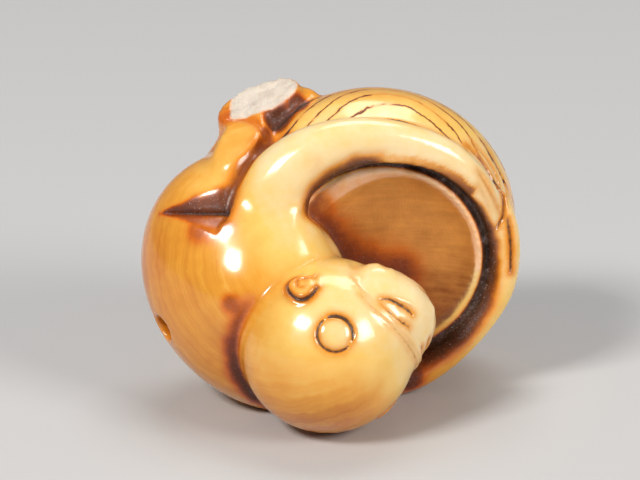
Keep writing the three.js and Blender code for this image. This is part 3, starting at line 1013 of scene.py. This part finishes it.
ivoryLook = {
    "toneStops": [(0, "F6E2B8"), (0.33, "F4C768"), (0.66, "E8A033"), (1, "CF7A18")],
    "stainAndShadeStops": [(0, "FFFFFF"), (0.3, "EFB96A"), (0.55, "AE7030"), (0.78, "633B1E"), (1, "2A180E")],
    "deepStainAndShade": "532E18", "bloom": "94808A", "dust": "D9C6B4", "ink": "3A2318",
    "dishDark": "834712", "dishLight": "F2A851", "lip": "FCCBA6", "broken": "DDD0C0", "brokenShade": "CBBDAE",
    "cloudScale": 0.16, "mottleScale": 0.55, "fineScale": 2.2, "speckScale": 5.5, "stripeScale": 1.5,
    "grainSpacing": 2.1, "grainWidth": 0.042,
    "sockets": {"Coat Roughness": 0.12, "Subsurface Weight": 0.15, "Subsurface Radius": (1, 0.45, 0.2),
                "Subsurface Scale": 0.0014, "IOR": 1.54},
    "roughness": 0.2, "coat": 0.4, "bump": {"Strength": 0.8, "Distance": 0.00012},
}


def ivoryFinish():
    look = ivoryLook
    ivory = Finish("polishedIvory")
    raw = ivory.node("TexCoord", output=3)
    place = ivory.node("VectorMath", {"operation": "SCALE"}, {0: raw, 3: 1000})
    tone, stain, ink, bowl, grain, dish, lip, broken = (
        ivory.mask(name) for name in ("tone", "stain", "ink", "bowl", "grain", "dish", "lip", "broken"))
    clouds = ivory.noise(place, look["cloudScale"], 3, 0.55)
    mottle = ivory.noise(place, look["mottleScale"], 3, 0.6)
    fine = ivory.noise(place, look["fineScale"], 4, 0.6)
    specks = ivory.noise(place, look["speckScale"], 2, 0.5)

    # growth layers of the tusk: thin curved stripes that follow the side of the block
    side = ivory.along(place, leaned((1, 0, 0))) + 5
    rise = ivory.along(place, leaned((0, 0, 1))) + (carving["floorHeight"] * math.cos(carving["leanBack"]) + 1)
    ring = (side * side + rise * rise).maths("SQRT") + mottle * 1.1
    stripes = ivory.noise(ivory.joined(ring, ivory.along(place, leaned((0, 0.06, 0)))), look["stripeScale"], 3, 0.65)
    layered = tone.ease(0.45, 0.95) * 0.9 + 0.08
    level = tone + (clouds - 0.5) * 0.5 + (mottle - 0.5) * 0.2 + (stripes - 0.5) * layered
    base = ivory.ramp(level, look["toneStops"])

    # the vessel's wood grain, cut as thin wavy lines
    lineField = grain / look["grainSpacing"] + mottle * 0.4 + fine * 0.1
    away = (lineField.maths("FRACT") - 0.5).maths("ABSOLUTE")
    strength = ivory.noise(place, 0.35, 2, 0.5).ease(0.36, 0.52)
    width = strength * look["grainWidth"] + 0.015
    grainLine = (1 - (away / width).ease(0.5, 1.3)) * bowl * strength
    grainHalo = (1 - away.ease(0, 0.22)) * bowl

    # the dish's floor, darker low down and lighter towards the top, with faint streaks that run across it, and the
    # paler lip
    acrossDish, alongDish = ivory.along(place, leaned(mouthUp)), ivory.along(place, leaned(mouthRight))
    streaks = ivory.noise(ivory.joined(acrossDish * 1.6, alongDish * 0.16, mottle * 0.6), 1, 4, 0.6)
    dishLevel = streaks.ease(0.25, 0.75) * 0.16 + (acrossDish - 16).ease(-8, 9) * 0.7
    dishLevel = dishLevel + (clouds - 0.5) * 0.8 + (mottle - 0.5) * 0.3
    dishColour = ivory.blend(dishLevel, tint(look["dishDark"]), tint(look["dishLight"]))
    lipColour = ivory.blend(mottle.ease(0.35, 0.7) * 0.5, tint(look["lip"]), tint(look["dishLight"]))
    colour = ivory.blend(dish, base, dishColour)
    colour = ivory.blend(lip * 0.85, colour, lipColour)

    # brown stain and the painted shade that shares its mask, through one ramp and the deepest tint, with bloom and dust
    # where it is thick, then the inked lines and the fresh break
    stainShadeAndGrain = stain + grainHalo * 0.16 + grainLine * 0.55
    stainShadeAndGrain = stainShadeAndGrain + (mottle - 0.5) * 0.22 * stain.ease(0.02, 0.3) + (fine - 0.5) * 0.16 * stain
    stainShadeAndGrain = stainShadeAndGrain * (1 - broken)
    colour = ivory.blend(1, colour, ivory.ramp(stainShadeAndGrain, look["stainAndShadeStops"]), "MULTIPLY")
    line = (ink + (fine - 0.5) * 0.5 + (mottle - 0.5) * 0.35).ease(0.3, 0.75)
    for share, code in ((stainShadeAndGrain.ease(0.35, 0.85) * 0.3, look["deepStainAndShade"]),
                        (stainShadeAndGrain.ease(0.7, 0.9) * mottle.ease(0.55, 0.75) * 0.2, look["bloom"]),
                        (stainShadeAndGrain.ease(0.4, 0.8) * specks.ease(0.62, 0.74) * 0.4, look["dust"]),
                        (line * 0.92, look["ink"])):
        colour = ivory.blend(share, colour, tint(code))
    brokenColour = ivory.blend(mottle.ease(0.3, 0.75), tint(look["broken"]), tint(look["brokenShade"]))
    colour = ivory.blend(broken, colour, brokenColour)

    dull = stainShadeAndGrain.ease(0.3, 0.9) * 0.3 + dish * 0.2 + broken * 0.4 + line * 0.2 + (fine - 0.5) * 0.08
    unpolished = (stainShadeAndGrain.ease(0.3, 0.8) + broken + dish * 0.6).maths("MINIMUM", 1)
    pits = stainShadeAndGrain.ease(0.55, 0.95) * 0.9 + broken * 0.9 + dish * 0.35 + 0.02
    rough = broken * 1.2 + dish * 0.25 + stainShadeAndGrain.ease(0.5, 0.9) * 0.5 + 0.03
    height = (specks - 0.5) * pits + (fine - 0.5) * rough - grainLine * 1.1 - line * 0.5
    inputs = ivory.shader.inputs
    ivory.feed(inputs["Base Color"], colour)
    ivory.feed(inputs["Roughness"], dull + look["roughness"])
    ivory.feed(inputs["Coat Weight"], (1 - unpolished) * look["coat"])
    ivory.feed(inputs["Normal"], ivory.node("Bump", None, {**look["bump"], "Height": height}))
    for name, value in look["sockets"].items():
        inputs[name].default_value = value
    return ivory.material


body.data.materials.clear()
body.data.materials.append(ivoryFinish())
print("ivory finished")


# Stage: a pale floor, soft studio light from the left, and a camera a long way in front. Places and directions are
# the carving's own, in millimetres; the lights' distances and sizes are in metres.
studio = {
    "eye": (-1.1, -390.7, 1.43), "target": (-1.1, 0, 1.43), "lens": 200, "sensor": 36,
    "floorSize": 6, "floorShade": 0.55, "floorRoughness": 0.6,
    "worldColour": (0.8, 0.8, 0.82, 1), "worldStrength": 0.24,
    "softboxes": {
        "keyLight": {"from": (-0.53, -0.71, 0.47), "away": 0.8, "size": (0.22, 0.17),
                     "power": 4.9, "tint": (1, 0.97, 0.93)},
        "fillLight": {"from": (0.72, -0.62, 0.3), "away": 0.9, "size": (0.34, 0.34),
                     "power": 4.6, "tint": (1, 0.98, 0.95)},
        "topLight": {"from": (0.1, 0.1, 0.99), "away": 0.8, "size": (0.5, 0.3), "power": 2, "tint": (1, 1, 1)},
    },
}


def fromCarving(point):
    # a point of the carving's own frame, in millimetres, to its place in the scene
    return Matrix.Translation(shift) @ Matrix.Rotation(-carving["leanBack"], 4, "X") @ (Vector(point) * 0.001)


def addToStage(name, data, place, target):
    # a camera or light that looks at the target
    thing = addToScene(bpy.data.objects.new(name, data))
    thing.location = place
    thing.rotation_euler = (target - place).to_track_quat("-Z", "Y").to_euler()
    return thing


def buildStage():
    bpy.ops.object.select_all(action="DESELECT")
    bpy.ops.mesh.primitive_plane_add(size=studio["floorSize"])
    floor = bpy.context.object
    floor.name = "floor"
    paper = bpy.data.materials.new("palePaper")
    paper.use_nodes = True
    paper.node_tree.nodes["Principled BSDF"].inputs["Base Color"].default_value = (*(studio["floorShade"],) * 3, 1)
    paper.node_tree.nodes["Principled BSDF"].inputs["Roughness"].default_value = studio["floorRoughness"]
    floor.data.materials.append(paper)

    lens = bpy.data.cameras.new("camera")
    lens.lens, lens.sensor_width, lens.clip_start = studio["lens"], studio["sensor"], 0.01
    eye, target = fromCarving(studio["eye"]), fromCarving(studio["target"])
    bpy.context.scene.camera = addToStage("camera", lens, eye, target)

    middle = fromCarving((0, 0, 0))
    for name, box in studio["softboxes"].items():
        light = bpy.data.lights.new(name, "AREA")
        light.shape = "RECTANGLE"
        light.size, light.size_y = box["size"]
        light.energy, light.color = box["power"], box["tint"]
        addToStage(name, light, middle + (fromCarving(box["from"]) - middle).normalized() * box["away"], middle)
    world = bpy.data.worlds.new("studio")
    world.use_nodes = True
    world.node_tree.nodes["Background"].inputs["Color"].default_value = studio["worldColour"]
    world.node_tree.nodes["Background"].inputs["Strength"].default_value = studio["worldStrength"]
    bpy.context.scene.world = world
    bpy.context.scene.view_settings.view_transform = "Standard"


buildStage()
print("stage built")
bpy.context.view_layer.update()
